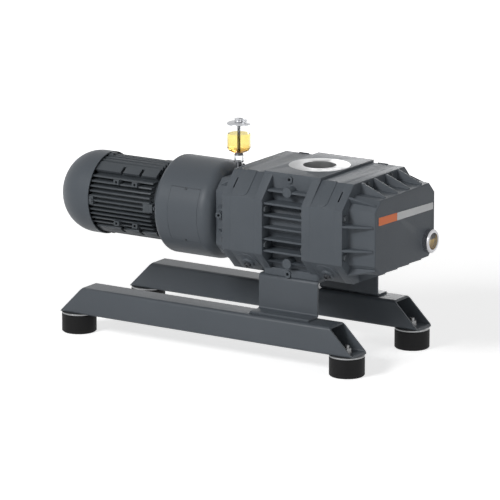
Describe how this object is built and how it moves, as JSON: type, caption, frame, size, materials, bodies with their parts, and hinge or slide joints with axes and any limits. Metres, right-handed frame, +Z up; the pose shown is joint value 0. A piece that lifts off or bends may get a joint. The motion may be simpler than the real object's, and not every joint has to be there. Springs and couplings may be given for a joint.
{
  "type": "roots vacuum pump",
  "caption": "Two-lobe rotary vacuum booster: finned casing between bearing housings, ribbed gear cover, flanged motor on a coupling drum, rails on rubber feet and a glass drip oiler.",
  "frame": {"origin": "on the floor, at the centre of the four feet", "axes": "+X along the shafts from the motor to the gear cover, -Y to the front, +Z up"},
  "size_m": [0.8287, 0.342, 0.495],
  "materials": {
    "frame_paint": "satin dark grey paint on mild steel",
    "pump_paint": "satin dark grey paint on cast iron",
    "motor_paint": "satin dark grey paint on cast aluminium",
    "painted_bolts": "painted over with the pump",
    "rubber": "moulded black rubber",
    "seal_rubber": "brown fluoro rubber",
    "spider_rubber": "red elastomer",
    "zinc_plate": "zinc-plated steel",
    "bright_steel": "bright steel plug",
    "gear_steel": "machined steel",
    "bearing_steel": "ground bearing steel",
    "core_steel": "stacked laminations",
    "cast_iron": "machined cast iron",
    "copper": "varnished copper windings",
    "fan_plastic": "moulded black plastic",
    "gland_plastic": "moulded black plastic",
    "bright_chrome": "polished",
    "sight_glass": "clear glass over oil",
    "clear_glass": "clear",
    "oil": "amber oil",
    "oiler_metal": "plated brass"
  },
  "bodies": {
    "pump_unit": {"front_rail": "frame_paint", "back_rail": "frame_paint", "rubber_feet": "rubber", "foot_plates": "zinc_plate", "foot_nuts": "zinc_plate", "front_bracket": "frame_paint", "back_bracket": "frame_paint", "bracket_bolts": "zinc_plate", "cylinder_casing": "pump_paint", "casing_bolts": "painted_bolts", "motor_side_housing": "pump_paint", "gear_side_housing": "pump_paint", "motor_side_cover": "pump_paint", "gear_cover": "pump_paint", "motor_cover_bolts": "painted_bolts", "gear_cover_bolts": "painted_bolts", "side_plug": "pump_paint", "drain_plugs": "bright_steel", "filler_plugs": "bright_steel", "rotor_outer_rings": "bearing_steel", "shaft_seals": "seal_rubber", "coupling_housing": "pump_paint", "front_inspection_cover": "pump_paint", "back_inspection_cover": "pump_paint", "inspection_screws": "painted_bolts", "coupling_housing_bolts": "zinc_plate", "drive_end_shield": "motor_paint", "motor_screws": "painted_bolts", "stator_housing": "motor_paint", "stator_core": "core_steel", "stator_windings": "copper", "motor_outer_rings": "bearing_steel", "rear_end_shield": "motor_paint", "fan_cowl": "motor_paint", "terminal_box": "motor_paint", "terminal_box_lid": "motor_paint", "cable_gland": "gland_plastic", "sight_glass_bezel": "bright_chrome", "sight_glass_lens": "sight_glass", "oiler_base": "oiler_metal", "oiler_glass": "clear_glass", "oiler_oil": "oil", "oiler_cap": "oiler_metal"},
    "drive_rotor_group": {"drive_rotor": "cast_iron", "drive_timing_gear": "gear_steel", "drive_gear_nut": "gear_steel", "drive_inner_rings": "bearing_steel", "pump_coupling_hub": "cast_iron"},
    "driven_rotor_group": {"driven_rotor": "cast_iron", "driven_timing_gear": "gear_steel", "driven_gear_nut": "gear_steel", "driven_inner_rings": "bearing_steel", "oil_slinger": "gear_steel"},
    "motor_rotor_group": {"motor_coupling_hub": "cast_iron", "coupling_spider": "spider_rubber", "motor_shaft": "gear_steel", "motor_rotor_core": "core_steel", "motor_inner_rings": "bearing_steel", "cooling_fan": "fan_plastic"},
    "oiler_lever_arm": {"oiler_lever": "oiler_metal"}
  },
  "joints": [
    {"name": "drive_rotor_spin", "type": "hinge", "parent": "pump_unit", "child": "drive_rotor_group", "pos_m": [0.1875, -0.045, 0.292], "axis": [1, 0, 0], "continuous": true},
    {"name": "driven_rotor_spin", "type": "hinge", "parent": "pump_unit", "child": "driven_rotor_group", "pos_m": [0.1875, 0.045, 0.292], "axis": [1, 0, 0], "continuous": true},
    {"name": "motor_spin", "type": "hinge", "parent": "pump_unit", "child": "motor_rotor_group", "pos_m": [-0.236, -0.045, 0.292], "axis": [1, 0, 0], "continuous": true},
    {"name": "oiler_lever_snap", "type": "hinge", "parent": "pump_unit", "child": "oiler_lever_arm", "pos_m": [0.0295, -0.058, 0.4922], "axis": [0, -1, 0], "range_deg": [0, 90]}
  ],
  "couplings": [
    {"joint": "driven_rotor_spin", "follows": "drive_rotor_spin", "ratio": -1},
    {"joint": "motor_spin", "follows": "drive_rotor_spin", "ratio": 1}
  ]
}
